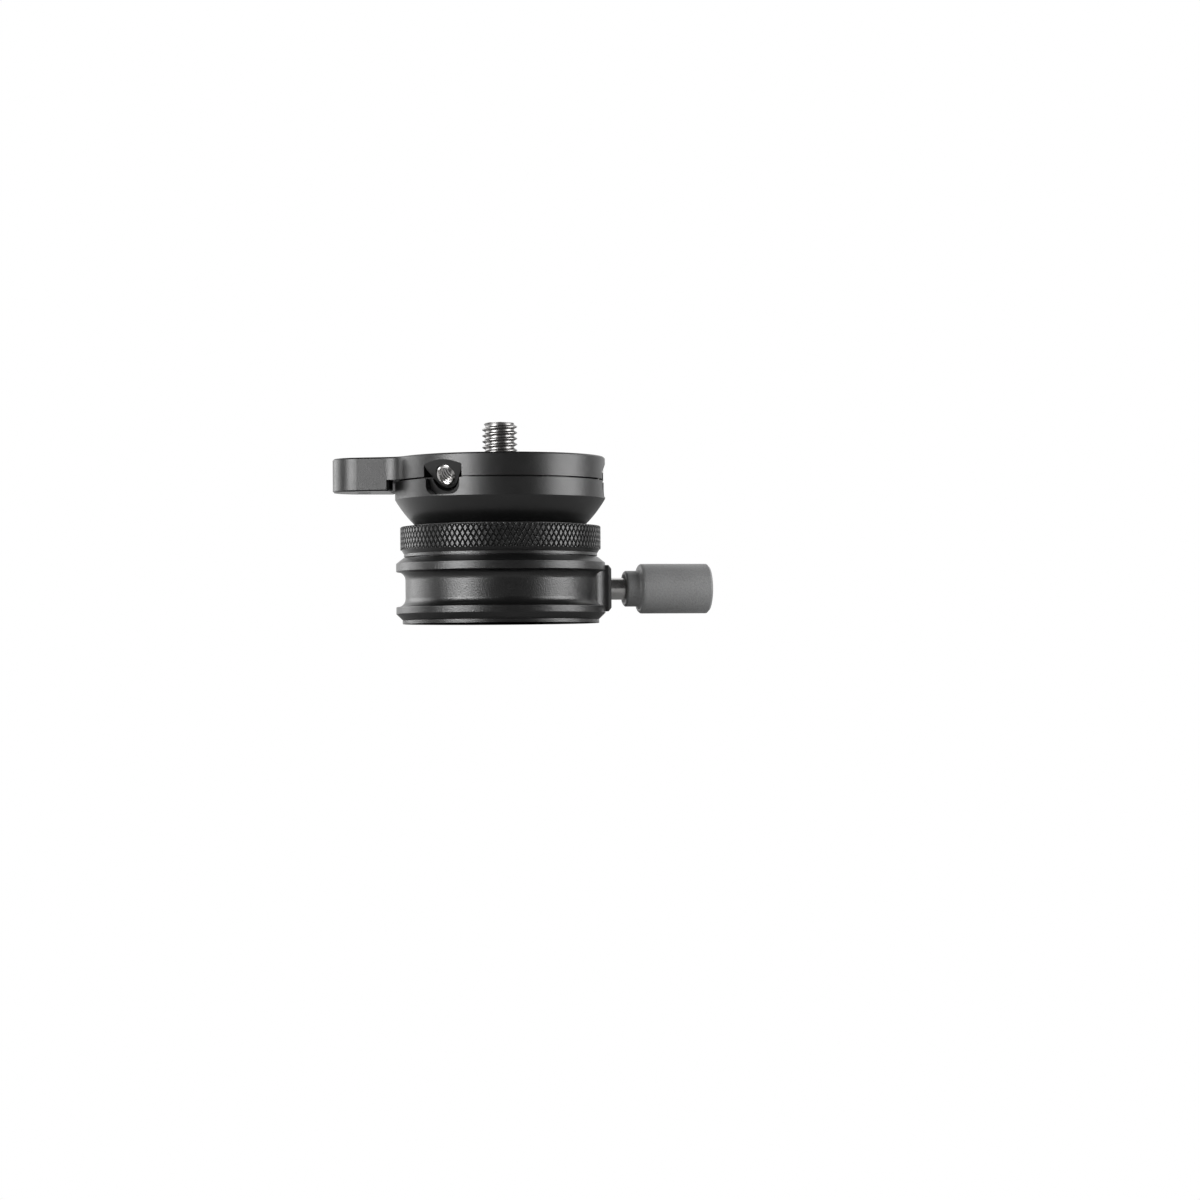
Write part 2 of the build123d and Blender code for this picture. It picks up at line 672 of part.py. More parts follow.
def top_plate():
    """Plate that the head stands on, with the level's lug and the three screw pockets."""
    plate = Pos(0, 0, seam_height) * extrude(lug_plan(), plate_thickness)
    plate += Pos(0, 0, lug_bottom) * extrude(lug_deep_plan(), lug_drop)
    plate = chamfer(plate.faces().sort_by(Axis.Z)[-1].edges(), plate_edge)
    plate = chamfer(plate.faces().sort_by(Axis.Z)[0].edges(), plate_edge)
    spigot_radius_outer = bowl_lip_bore - running_gap
    plate += flat_ring(
        spigot_radius_outer - plate_spigot_wall, spigot_radius_outer, seam_height - plate_spigot_height,
        seam_height,
    )
    face = extrude(pocket_plane(set_screw_stand) * pocket_mouth(), platform_radius)
    hollows = extrude(pocket_plane(pocket_deep) * (pocket_mouth() - pocket_boss()), platform_radius)
    plate -= round_pockets(face + hollows)
    low = seam_height - bowl_pocket_drop
    high = seam_height + plate_thickness / 2
    envelope = Pos(0, 0, (low + high) / 2) * Cylinder(platform_radius, high - low)
    boss = extrude(pocket_plane(set_screw_stand) * pocket_boss(), -pocket_deep)
    boss += extrude(pocket_plane(set_screw_stand) * Circle(pocket_boss_radius), -pocket_boss_length)
    plate += round_pockets(boss & envelope)
    hole_radius = set_screw_radius + running_gap
    hole = extrude(pocket_plane(set_screw_hole_depth) * Circle(hole_radius), platform_radius)
    plate -= round_pockets(hole)
    stud_hole = Cylinder(stud_shank_radius + stud_gap, 2 * plate_thickness)
    plate -= Pos(0, 0, seam_height + plate_thickness / 2) * stud_hole
    keeper_bore = keeper_radius + running_gap
    plate -= Pos(0, 0, keeper_top - plate_thickness / 2) * Cylinder(keeper_bore, plate_thickness)
    hex_outline = RegularPolygon(stud_hex_radius + running_gap, 6)
    plate -= Pos(0, 0, seam_height) * extrude(hex_outline, hex_top - seam_height)
    recess = Pos(lug_reach, 0, vial_top_height) * Cylinder(vial_radius + running_gap, 2 * vial_height)
    drain = Pos(lug_reach, 0, lug_bottom) * Cylinder(lug_hole_radius, 2 * plate_thickness)
    screw_cut = flat_screw_cut(plate_screw_radius, plate_screw_head, plate_screw_length)
    plate -= recess + drain
    plate -= plate_screw_places(screw_cut)
    keeper_cut = flat_screw_cut(keeper_screw_radius, keeper_screw_head, keeper_screw_length)
    return plate - ring_of(keeper_cut, keeper_screw_circle, keeper_screw_count, seam_height + screw_inset)


def plate_screws():
    return plate_screw_places(flat_screw(plate_screw_radius, plate_screw_head, plate_screw_length))


def stud_keeper():
    """Disc under the plate that holds the stud's hexagon in its pocket."""
    disc = Pos(0, 0, seam_height + keeper_thickness / 2) * Cylinder(keeper_radius, keeper_thickness)
    cut = flat_screw_cut(keeper_screw_radius, keeper_screw_head, keeper_screw_length)
    return disc - ring_of(cut, keeper_screw_circle, keeper_screw_count, seam_height + screw_inset)


def stud_keeper_screws():
    screw = flat_screw(keeper_screw_radius, keeper_screw_head, keeper_screw_length)
    return ring_of(screw, keeper_screw_circle, keeper_screw_count, seam_height + screw_inset)


def head_stud():
    """Stud for the mounted head, plain here at its thread's outer radius, with a shoulder in the plate."""
    top = plate_top + stud_length
    shank = turned(
        (0, hex_top), (stud_shank_radius, hex_top), (stud_shank_radius, plate_top), (stud_radius, plate_top),
        (stud_radius, top - stud_bevel), (stud_radius - stud_bevel, top), (0, top),
    )
    return shank + Pos(0, 0, keeper_top) * extrude(RegularPolygon(stud_hex_radius, 6), stud_hex_height)


def anti_twist_screw(heading):
    """Socket set screw in its inclined hole, outer end first."""
    end = set_screw_length
    narrow = set_screw_radius - set_screw_bevel
    screw = turned(
        (0, -end), (narrow, -end), (set_screw_radius, set_screw_bevel - end),
        (set_screw_radius, -set_screw_bevel), (narrow, 0), (0, 0),
    )
    socket = extrude(RegularPolygon(set_screw_socket_radius, 6), set_screw_socket_depth + overrun)
    screw -= Pos(0, 0, -set_screw_socket_depth) * socket
    return Rot(0, 0, heading) * (pocket_plane(0) * screw)


def vial_base():
    """Opaque disc that closes the vial from below."""
    centre = vial_bottom + vial_base_thickness / 2
    return Pos(lug_reach, 0, centre) * Cylinder(vial_radius, vial_base_thickness)


def vial_cavity():
    """Space inside the vial: a drum under a crowned roof."""
    drum = Pos(0, 0, (vial_floor + vial_roof) / 2) * Cylinder(vial_radius - vial_wall, vial_roof - vial_floor)
    return Pos(lug_reach, 0) * (drum & Pos(0, 0, vial_roof - vial_crown_radius) * Sphere(vial_crown_radius))


def vial_lens():
    """Clear cover of the bubble level."""
    height = vial_top_height - vial_floor
    return Pos(lug_reach, 0, vial_floor + height / 2) * Cylinder(vial_radius, height) - vial_cavity()


def air_bubble():
    """Flattened bubble under the crown of the vial."""
    ball = (bubble_radius**2 + bubble_depth**2) / (2 * bubble_depth)
    blank = Pos(lug_reach, 0, vial_roof - bubble_depth + ball) * Sphere(ball)
    return blank & vial_cavity()


def target_ring():
    """Dark ring on the vial's floor that the bubble is centred over."""
    ring = flat_ring(target_radius - target_width, target_radius, vial_floor, vial_floor + target_thickness)
    return Pos(lug_reach, 0) * ring


def vial_liquid():
    return vial_cavity() - air_bubble() - target_ring()


fixed_pieces = {
    "base_plate": base_plate(),
    "base_screws": base_screws(),
    "tripod_bush": tripod_bush(),
    "spindle": spindle(),
    "pan_washer": pan_washer(),
    "housing": housing(),
    "pan_retainer": pan_retainer(),
    "pan_retainer_screws": pan_retainer_screws(),
    "centre_bolt": centre_bolt(),
    "brake_shoe": brake_shoe(),
    "knob_screw": knob_screw(),
    "lock_knob": lock_knob(),
    "lock_ring": lock_ring(),
    "seat_ring": seat_ring(),
    "hold_down_cap": hold_down_cap(),
    "thrust_washer": thrust_washer(),
    "disc_springs": disc_springs(),
    "friction_liner": friction_liner(),
}

# These are modelled with the lug along +X, and then turned to its heading
platform_pieces = {
    "dome_bowl": dome_bowl(),
    "top_plate": top_plate(),
    "plate_screws": plate_screws(),
    "head_stud": head_stud(),
    "stud_keeper": stud_keeper(),
    "stud_keeper_screws": stud_keeper_screws(),
    "vial_base": vial_base(),
    "vial_lens": vial_lens(),
    "vial_liquid": vial_liquid(),
    "air_bubble": air_bubble(),
    "target_ring": target_ring(),
    "anti_twist_screw_front": anti_twist_screw(pocket_headings[0]),
    "anti_twist_screw_side": anti_twist_screw(pocket_headings[1]),
    "anti_twist_screw_rear": anti_twist_screw(pocket_headings[2]),
}

for name, piece in fixed_pieces.items():
    export_step(piece, f"parts/{name}.step")

for name, piece in platform_pieces.items():
    export_step(Rot(0, 0, lug_heading) * piece, f"parts/{name}.step")
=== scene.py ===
# %% [markdown]
# # A tripod leveling head, dressed for its photograph
#
# The head has a black body that turns on a base, a ball-shaped platform that tilts in it, a knurled
# ring that locks the ball, and a small knob that locks the turn. The solids come from a CAD model
# that stays as it is. This lesson gives each solid its finish, and models the pieces whose real
# surface is too fine for the CAD model: the knurl, the threads and the bubble level.

import json
from math import cos, hypot, pi, radians, sin, tan

import bmesh
import bpy
from mathutils import Matrix, Quaternion, Vector


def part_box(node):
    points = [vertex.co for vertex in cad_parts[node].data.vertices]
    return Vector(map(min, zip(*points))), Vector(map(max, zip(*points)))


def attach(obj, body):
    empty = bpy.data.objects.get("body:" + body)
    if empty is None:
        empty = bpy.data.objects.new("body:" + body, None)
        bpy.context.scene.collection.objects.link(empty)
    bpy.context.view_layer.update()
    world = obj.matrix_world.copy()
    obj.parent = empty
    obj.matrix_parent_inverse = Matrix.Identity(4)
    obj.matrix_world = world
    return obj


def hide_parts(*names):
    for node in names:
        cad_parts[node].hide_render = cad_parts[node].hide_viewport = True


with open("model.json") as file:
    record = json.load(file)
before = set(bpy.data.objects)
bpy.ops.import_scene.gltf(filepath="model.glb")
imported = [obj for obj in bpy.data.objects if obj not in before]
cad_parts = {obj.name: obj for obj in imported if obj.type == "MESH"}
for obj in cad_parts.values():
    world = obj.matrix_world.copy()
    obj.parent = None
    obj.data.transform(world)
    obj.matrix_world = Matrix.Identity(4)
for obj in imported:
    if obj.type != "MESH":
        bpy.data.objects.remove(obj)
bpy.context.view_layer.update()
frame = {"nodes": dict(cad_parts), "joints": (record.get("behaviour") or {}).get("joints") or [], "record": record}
nodes = frame["nodes"]
MM = 0.001

# %% [markdown]
# ## The camera
#
# The photograph was taken with a long lens from almost a metre away, from just under the height of the
# base. The object is left of the middle and low perspective shows in its rings, so the camera is
# placed by its distance and headings, which is easier to correct than a matrix of numbers.

# %% Camera
camera_distance = 929.5 * MM
camera_heading = radians(-100.5)
camera_height = -13.65 * MM
view_heading = radians(77.843)
view_pitch = radians(1.222)
view_roll = radians(-0.45)

eye = Vector((camera_distance * cos(camera_heading), camera_distance * sin(camera_heading), camera_height))
forward = Vector((cos(view_pitch) * cos(view_heading), cos(view_pitch) * sin(view_heading), sin(view_pitch)))
camera_data = bpy.data.cameras.new("camera")
camera_data.sensor_width = 36
camera_data.lens = 102.75
camera = bpy.data.objects.new("camera", camera_data)
camera.location = eye
camera.rotation_mode = "QUATERNION"
camera.rotation_quaternion = forward.to_track_quat("-Z", "Y") @ Quaternion((0, 0, 1), view_roll)
bpy.context.scene.collection.objects.link(camera)
bpy.context.scene.camera = camera
bpy.context.scene.view_settings.view_transform = "Standard"
print("camera is", round(eye.length, 3), "m from the base")

# %% [markdown]
# ## Sockets that do arithmetic
#
# A procedural finish is a small formula. Written node by node it is hard to read, so one class wraps a
# socket and gives it Python's operators: each operator adds a Math node. Any other node comes from
# Tree.node, which sets the node up first and then fills or links its sockets.


# %% Shader tools
class Wire:
    """A socket whose value can be used in sums."""

    def __init__(self, tree, socket):
        self.tree = tree
        self.socket = socket

    def maths(self, operation, *values):
        return self.tree.node("ShaderNodeMath", {"operation": operation}, dict(enumerate(values)))

    def __add__(self, other):
        return self.maths("ADD", self, other)

    def __radd__(self, other):
        return self.maths("ADD", other, self)

    def __sub__(self, other):
        return self.maths("SUBTRACT", self, other)

    def __rsub__(self, other):
        return self.maths("SUBTRACT", other, self)

    def __mul__(self, other):
        return self.maths("MULTIPLY", self, other)

    def __rmul__(self, other):
        return self.maths("MULTIPLY", other, self)

    def __gt__(self, other):
        return self.maths("GREATER_THAN", self, other)

    def __lt__(self, other):
        return self.maths("LESS_THAN", self, other)

    def __abs__(self):
        return self.maths("ABSOLUTE", self)


class Tree:
    """The node tree of a material or the world, emptied first."""

    def __init__(self, owner):
        owner.use_nodes = True
        self.nodes = owner.node_tree.nodes
        self.links = owner.node_tree.links
        self.nodes.clear()

    def node(self, kind, settings=None, inputs=None, output=0):
        node = self.nodes.new(kind)
        for name, value in (settings or {}).items():
            setattr(node, name, value)
        for name, value in (inputs or {}).items():
            if isinstance(value, Wire):
                self.links.new(value.socket, node.inputs[name])
            else:
                node.inputs[name].default_value = value
        return Wire(self, node.outputs[output]) if node.outputs else None

    def place(self, output="Object"):
        """Where a point is on its own piece, in metres, or its normal there."""
        return self.node("ShaderNodeTexCoord", output=output)

    def parts(self, vector):
        """The X, Y and Z of a vector."""
        first = self.node("ShaderNodeSeparateXYZ", inputs={"Vector": vector})
        outputs = first.socket.node.outputs
        return [Wire(self, socket) for socket in outputs]

    def noise(self, where, size, detail=2.0):
        """Soft random spots of about the given size, from 0 to 1."""
        sockets = {"Vector": where, "Scale": 1 / size, "Detail": detail}
        return self.node("ShaderNodeTexNoise", inputs=sockets, output="Fac")

    def lines(self, along, size, detail=3.0):
        """Random bands of about the given width, stacked along one value."""
        settings = {"noise_dimensions": "1D"}
        sockets = {"W": along, "Scale": 1 / size, "Detail": detail}
        return self.node("ShaderNodeTexNoise", settings, sockets, "Fac")

    def spread(self, value, low, high, start=0.0, end=1.0):
        """A value carried from one range to another, with soft ends."""
        settings = {"interpolation_type": "SMOOTHSTEP"}
        sockets = {"Value": value, "From Min": low, "From Max": high, "To Min": start, "To Max": end}
        return self.node("ShaderNodeMapRange", settings, sockets, "Result")

    def tint(self, first, second, factor):
        """A colour between two others."""
        settings = {"data_type": "RGBA"}
        return self.node("ShaderNodeMix", settings, {0: factor, 6: first, 7: second}, 2)

    def bump(self, height, distance, strength=1.0):
        sockets = {"Height": height, "Distance": distance, "Strength": strength}
        return self.node("ShaderNodeBump", inputs=sockets)


def grey(level, warmth=0.0):
    """A near-neutral colour with its alpha."""
    return (level * (1 + warmth), level, level * (1 - warmth), 1.0)


def finish(name, build):
    """A material whose Principled sockets come from build(tree), a function that returns them by name."""
    material = bpy.data.materials.new(name)
    tree = Tree(material)
    surface = tree.node("ShaderNodeBsdfPrincipled", inputs=build(tree))
    tree.node("ShaderNodeOutputMaterial", inputs={"Surface": surface})
    return material


print("shader tools ready")

# %% [markdown]
# ## Stage and light
#
# The photograph has a white background and two large soft lamps: one at the left front, whose
# reflection is the broad soft band on the left of each cylinder, and one at the right. The world
# is white behind the object and dark behind the camera, as a studio is, because a black satin surface
# shows mostly what it reflects. The floor is just under the base. The photograph's camera stands
# lower than the base, so the floor's underside lets camera rays through.

# %% World
world = bpy.data.worlds.new("studio")
bpy.context.scene.world = world
tree = Tree(world)
towards_camera = Vector((cos(camera_heading), sin(camera_heading), 0))
dark_side_level = 0.035
path = tree.node("ShaderNodeLightPath")
is_camera, is_transmission = (
    Wire(tree, path.socket.node.outputs[name]) for name in ("Is Camera Ray", "Is Transmission Ray")
)
facing = tree.node(
    "ShaderNodeVectorMath", {"operation": "DOT_PRODUCT"},
    {0: tree.place("Generated"), 1: towards_camera}, "Value",
)
reflected = tree.spread(facing, -0.65, -0.25, 1.0, dark_side_level)
seen = is_camera.maths("MAXIMUM", is_camera, is_transmission)
level = reflected + seen * (1.0 - reflected)
light = tree.node("ShaderNodeBackground", inputs={"Color": grey(1.0), "Strength": level})
tree.node("ShaderNodeOutputWorld", inputs={"Surface": light})


# %% Lamps
def soft_lamp(name, heading, height, distance, width, tall, level):
    """A rectangular lamp aimed at the object; level is how bright it alone would make white paper."""
    lamp = bpy.data.lights.new(name, "AREA")
    lamp.shape = "RECTANGLE"
    lamp.size = width
    lamp.size_y = tall
    lamp.energy = level * pi**2 * distance**2
    lamp_object = bpy.data.objects.new(name, lamp)
    aim = Vector((0, 0, 27 * MM))
    side = Vector((cos(heading) * cos(height), sin(heading) * cos(height), sin(height)))
    lamp_object.location = aim + side * distance
    lamp_object.rotation_mode = "QUATERNION"
    lamp_object.rotation_quaternion = side.to_track_quat("Z", "Y")
    bpy.context.scene.collection.objects.link(lamp_object)


soft_lamp("left_lamp", camera_heading - radians(47), radians(10), 1.0, 0.55, 0.60, 1.10)
soft_lamp("right_lamp", camera_heading + radians(77), radians(10), 1.0, 0.75, 0.60, 0.95)
soft_lamp("left_edge_lamp", camera_heading - radians(118), radians(10), 1.0, 0.75, 0.60, 0.45)

# %% Floor
floor_gap = 0.2 * MM
floor_size = 6.0
bpy.ops.object.select_all(action="DESELECT")
bpy.ops.mesh.primitive_plane_add(size=floor_size, location=(0, 0, -floor_gap))
floor = bpy.context.object
floor.name = "floor"
material = bpy.data.materials.new("floor")
tree = Tree(material)
path = tree.node("ShaderNodeLightPath")
is_camera, is_glossy = (
    Wire(tree, path.socket.node.outputs[name]) for name in ("Is Camera Ray", "Is Glossy Ray")
)
back_left = camera_heading + radians(-105)
behind = tree.node(
    "ShaderNodeVectorMath", {"operation": "DOT_PRODUCT"},
    {0: tree.place(), 1: (cos(back_left), sin(back_left), 0)}, "Value",
)
white = tree.node("ShaderNodeEmission", inputs={"Color": grey(1.0)})
underside = tree.node("ShaderNodeNewGeometry", output="Backfacing")
paper = tree.node("ShaderNodeBsdfDiffuse", inputs={"Color": grey(0.55)})
away = tree.node("ShaderNodeVectorMath", {"operation": "LENGTH"}, {0: tree.place()}, "Value")
far_white = is_glossy * tree.spread(behind, 0.03, 0.12) + is_camera * tree.spread(away, 0.06, 0.40)
lit = tree.node("ShaderNodeMixShader", inputs={0: far_white, 1: paper, 2: white})
clear = tree.node("ShaderNodeBsdfTransparent")
surface = tree.node("ShaderNodeMixShader", inputs={0: is_camera * underside, 1: lit, 2: clear})
tree.node("ShaderNodeOutputMaterial", inputs={"Surface": surface})
material.cycles.emission_sampling = "NONE"
floor.data.materials.append(material)
print("floor", floor_size, "m wide,", floor_gap / MM, "mm under the base")

# %% [markdown]
# ## Black anodised aluminium
#
# Anodising leaves the tool marks of the lathe, dulled by a fine blast, so the finish has three layers:
# a very fine grain, faint turning lines that follow the section, and slow patches of roughness from
# handling. Turning lines run round the axis, so they are bands along radius plus height: on a flat face
# the radius changes, and on a wall the height does.


# %% Anodised finishes
def anodised(colour, roughness, grain_size, grain_depth, line_depth):
    def build(tree):
        where = tree.place()
        x, y, z = tree.parts(where)
        radius = x.maths("SQRT", x * x + y * y)
        grain = tree.noise(where, grain_size, 3.0)
        lines = tree.lines(radius + z, 0.35 * MM)
        patches = tree.noise(where, 9 * MM, 2.0)
        smudges = tree.noise(where, 2.5 * MM, 4.0)
        speckle = grain * 0.7 + patches * 0.3
        height = grain * (grain_depth / MM) + lines * (line_depth / MM)
        worn = tree.spread(smudges, 0.35, 0.75)
        return {
            "Base Color": tree.tint(grey(colour * 0.55, 0.01), grey(colour * 1.55, -0.01), speckle),
            "Roughness": roughness + (patches - 0.5) * 0.05 + worn * 0.035,
            "Normal": tree.bump(height, MM),
            "IOR": 1.65,
        }

    return build


finishes = {
    "black_anodised": finish("black_anodised", anodised(0.004, 0.29, 0.34 * MM, 0.060 * MM, 0.0015 * MM)),
    "grey_anodised": finish("grey_anodised", anodised(0.25, 0.36, 0.45 * MM, 0.14 * MM, 0.002 * MM)),
}
blasted_black = finish("blasted_black", anodised(0.004, 0.34, 0.30 * MM, 0.035 * MM, 0.0006 * MM))
print("anodised finishes:", len(finishes) + 1)

# %% [markdown]
# ## Bare metals
#
# Steel, brass and uncoated aluminium differ in colour and in how smooth they are. All are turned, so
# they share one recipe: full metal, faint bands along the section, and darker films of oil where the
# slow noise is high.


# %% Metals
def bare_metal(colour, roughness, line_size, line_depth, film=0.15):
    dull = tuple(part * (1 - film) for part in colour[:3]) + (1.0,)

    def build(tree):
        where = tree.place()
        x, y, z = tree.parts(where)
        radius = x.maths("SQRT", x * x + y * y)
        lines = tree.lines(radius + z, line_size)
        patches = tree.noise(where, 3 * MM, 3.0)
        return {
            "Base Color": tree.tint(colour, dull, tree.spread(patches, 0.35, 0.7)),
            "Metallic": 1.0,
            "Roughness": roughness + lines * 0.08 + patches * 0.06,
            "Normal": tree.bump(lines, line_depth),
        }

    return build


finishes |= {
    "plain_aluminium": finish("plain_aluminium", bare_metal(grey(0.78), 0.28, 0.25 * MM, 0.004 * MM)),
    "bright_steel": finish("bright_steel", bare_metal(grey(0.74, 0.015), 0.19, 0.20 * MM, 0.001 * MM)),
    "black_steel": finish("black_steel", bare_metal(grey(0.06), 0.34, 0.25 * MM, 0.003 * MM)),
    "spring_steel": finish("spring_steel", bare_metal(grey(0.42, 0.02), 0.30, 0.20 * MM, 0.003 * MM)),
    "brass": finish("brass", bare_metal((0.76, 0.56, 0.27, 1.0), 0.22, 0.25 * MM, 0.003 * MM)),
}


# %% [markdown]
# ## Plastics and the level's clear parts
#
# The washers are off-white nylon and the ball's seat is black acetal, both matt and slightly mottled.
# The level has a clear cover, green fluid, an air bubble and a printed ring on a white floor.


# %% Plastics
def plastic(colour, roughness, mottle=0.06):
    pale = tuple(part * (1 + mottle) for part in colour[:3]) + (1.0,)

    def build(tree):
        where = tree.place()
        mottling = tree.noise(where, 1.6 * MM, 4.0)
        grain = tree.noise(where, 0.2 * MM, 2.0)
        return {
            "Base Color": tree.tint(colour, pale, mottling),
            "Roughness": roughness + mottling * 0.08,
            "Normal": tree.bump(grain, 0.004 * MM),
        }

    return build


def clear_part(colour, ior, roughness=0.02):
    def build(tree):
        haze = tree.noise(tree.place(), 1.2 * MM, 2.0)
        return {
            "Base Color": colour,
            "Transmission Weight": 1.0,
            "IOR": ior,
            "Roughness": roughness + haze * 0.03,
        }

    return build


finishes |= {
    "nylon": finish("nylon", plastic((0.76, 0.75, 0.69, 1.0), 0.5)),
    "seat_acetal": finish("seat_acetal", plastic(grey(0.018), 0.42)),
    "vial_white": finish("vial_white", plastic(grey(0.86), 0.3, 0.03)),
    "target_black": finish("target_black", plastic(grey(0.012), 0.5)),
    "vial_acrylic": finish("vial_acrylic", clear_part(grey(0.98), 1.49)),
    "vial_fluid": finish("vial_fluid", clear_part((0.72, 0.93, 0.16, 1.0), 1.36)),
    "vial_air": finish("vial_air", clear_part(grey(1.0), 0.74)),
}

# %% Dress the solids
for part in frame["record"]["subparts"]:
    nodes[part["node"]].material_slots[0].material = finishes[part["material_slot"]]
for name in ("top_plate", "dome_bowl"):
    nodes[name].material_slots[0].material = blasted_black
print("finishes:", ", ".join(sorted(finishes)))

# %% [markdown]
# ## Tools for modelling
#
# Turned pieces are drawn as half a section and spun. A section is drawn as by hand: one vertex, extruded
# from corner to corner. The helpers below keep each step to one line, and each leaves its piece with the
# object at the origin, so that its place is in its mesh.


# %% Modelling tools
def edit(piece, kind="VERT"):
    """Opens a piece in edit mode with nothing selected."""
    bpy.ops.object.select_all(action="DESELECT")
    piece.select_set(True)
    bpy.context.view_layer.objects.active = piece
    bpy.ops.object.mode_set(mode="EDIT")
    bpy.ops.mesh.select_mode(type=kind)
    bpy.ops.mesh.select_all(action="DESELECT")


def close():
    bpy.ops.object.mode_set(mode="OBJECT")


def pick(piece, test, kind="verts"):
    """Selects the vertices, edges or faces, and only those, that pass a test."""
    mesh = bmesh.from_edit_mesh(piece.data)
    chosen = [part for part in getattr(mesh, kind) if test(part)]
    bpy.ops.mesh.select_all(action="DESELECT")
    for part in chosen:
        part.select_set(True)
    bmesh.update_edit_mesh(piece.data)
    return len(chosen)


def outwards(piece, weld=0.002 * MM):
    """Merges doubles, then turns every face outwards."""
    edit(piece)
    bpy.ops.mesh.select_all(action="SELECT")
    bpy.ops.mesh.remove_doubles(threshold=weld)
    bpy.ops.mesh.normals_make_consistent(inside=False)
    close()


def settle(piece):
    """Puts a piece's place in its mesh."""
    bpy.ops.object.select_all(action="DESELECT")
    piece.select_set(True)
    bpy.context.view_layer.objects.active = piece
    bpy.ops.object.transform_apply(location=True, rotation=True, scale=True)


def chain(name, points, loop=False):
    """A line through (radius, height) points: one vertex, extruded from point to point."""
    bpy.ops.object.select_all(action="DESELECT")
    bpy.ops.mesh.primitive_plane_add(size=MM)
    piece = bpy.context.object
    piece.name = name
    edit(piece)
    bpy.ops.mesh.select_all(action="SELECT")
    bpy.ops.mesh.merge(type="CENTER")
    places = [Vector((radius, 0, height)) for radius, height in points]
    bpy.ops.transform.translate(value=places[0])
    for before, after in zip(places, places[1:]):
        bpy.ops.mesh.extrude_region_move(TRANSFORM_OT_translate={"value": after - before})
    if loop:
        bpy.ops.mesh.select_all(action="SELECT")
        bpy.ops.mesh.edge_face_add()
        bpy.ops.mesh.delete(type="ONLY_FACE")
    close()
    return piece


def spun(name, points, steps=96):
    """A closed section turned about Z."""
    piece = chain(name, points, loop=True)
    edit(piece)
    bpy.ops.mesh.select_all(action="SELECT")
    bpy.ops.mesh.spin(steps=steps, angle=2 * pi, center=(0, 0, 0), axis=(0, 0, 1))
    close()
    outwards(piece)
    return piece


def apply_modifier(piece, kind, **settings):
    """Adds a modifier and applies it."""
    modifier = piece.modifiers.new(kind.title(), kind)
    for name, value in settings.items():
        setattr(modifier, name, value)
    bpy.ops.object.select_all(action="DESELECT")
    piece.select_set(True)
    bpy.context.view_layer.objects.active = piece
    bpy.ops.object.modifier_apply(modifier=modifier.name)


def combine(piece, tool, operation):
    """Adds a tool's shape to a piece, or cuts it away, and removes the tool."""
    apply_modifier(piece, "BOOLEAN", object=tool, operation=operation, solver="EXACT")
    bpy.data.objects.remove(tool)


def crease(piece, degrees=32):
    """Smooth shading with sharp edges."""
    bpy.ops.object.select_all(action="DESELECT")
    piece.select_set(True)
    bpy.context.view_layer.objects.active = piece
    bpy.ops.object.shade_smooth_by_angle(angle=radians(degrees))


def hand_over(piece, body, slot, *replaced):
    """Finishes a piece, gives it to its body and hides the solids that it stands for."""
    piece.data.materials.clear()
    piece.data.materials.append(finishes[slot])
    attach(piece, body)
    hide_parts(*replaced)
    print(f"{piece.name}: {len(piece.data.polygons)} faces, rides on {body}, replaces {', '.join(replaced)}")


def section(node, step=0.02 * MM):
    """The (radius, height) corners of a turned solid, from its mesh, lowest first."""
    corners = {(round(hypot(v.co.x, v.co.y) / step), round(v.co.z / step)) for v in nodes[node].data.vertices}
    return sorted(((radius * step, height * step) for radius, height in corners), key=lambda c: (c[1], c[0]))


# %% [markdown]
# ## The knurled ring
#
# A knurl is two families of V grooves, rolled at a slant both ways, that leave rows of diamonds. One
# diamond is modelled flat, inset to leave its flat crest, and copied by array modifiers into a sheet that
# is one turn long. The sheet is then rolled up by moving its vertices, cut off at the band's two edges,
# and carried on round the ring's plain parts by extruding its lower rim.

# %% Knurl
corners = section("lock_ring")
ring_height = {index: height for index, height in enumerate(sorted({height for _, height in corners}))}
ring_bottom, foot_top, knurl_bottom, lip_bottom, seat_bottom, knurl_top, ring_top = ring_height.values()


def ring_radii(height):
    return [radius for radius, level in corners if level == height]


crest = max(radius for radius, _ in corners)
bore, foot = ring_radii(ring_bottom)
lip = ring_radii(lip_bottom)[0]
recess, rim = ring_radii(ring_top)
diamonds_round = 112
groove_slant = radians(29.4)
groove_depth = 0.28 * MM
crest_inset = 0.28 * MM
diamond_width = 2 * pi * crest / diamonds_round
diamond_height = diamond_width / tan(groove_slant)
rows = 4

bpy.ops.object.select_all(action="DESELECT")
bpy.ops.mesh.primitive_circle_add(vertices=4, radius=0.5, fill_type="NGON")
ring = bpy.context.object
ring.name = "knurled_ring"
edit(ring, "FACE")
bpy.ops.mesh.select_all(action="SELECT")
bpy.ops.transform.resize(value=(diamond_width, diamond_height, 1))
bpy.ops.mesh.inset(thickness=crest_inset, depth=groove_depth)
bpy.ops.mesh.select_all(action="SELECT")
half_step = (diamond_width / 2, diamond_height / 2, 0)
bpy.ops.mesh.duplicate_move(TRANSFORM_OT_translate={"value": half_step})
close()
for count, step in ((diamonds_round, (diamond_width, 0, 0)), (rows, (0, diamond_height, 0))):
    apply_modifier(
        ring, "ARRAY", count=count, use_relative_offset=False, use_constant_offset=True,
        constant_offset_displace=step,
    )
middle = (rows - 0.5) * diamond_height / 2
band_middle = (knurl_bottom + knurl_top) / 2
for vertex in ring.data.vertices:
    angle = vertex.co.x / crest
    radius = crest - groove_depth + vertex.co.z
    height = band_middle + vertex.co.y - middle
    vertex.co = (radius * cos(angle), radius * sin(angle), height)
outwards(ring, 0.02 * MM)
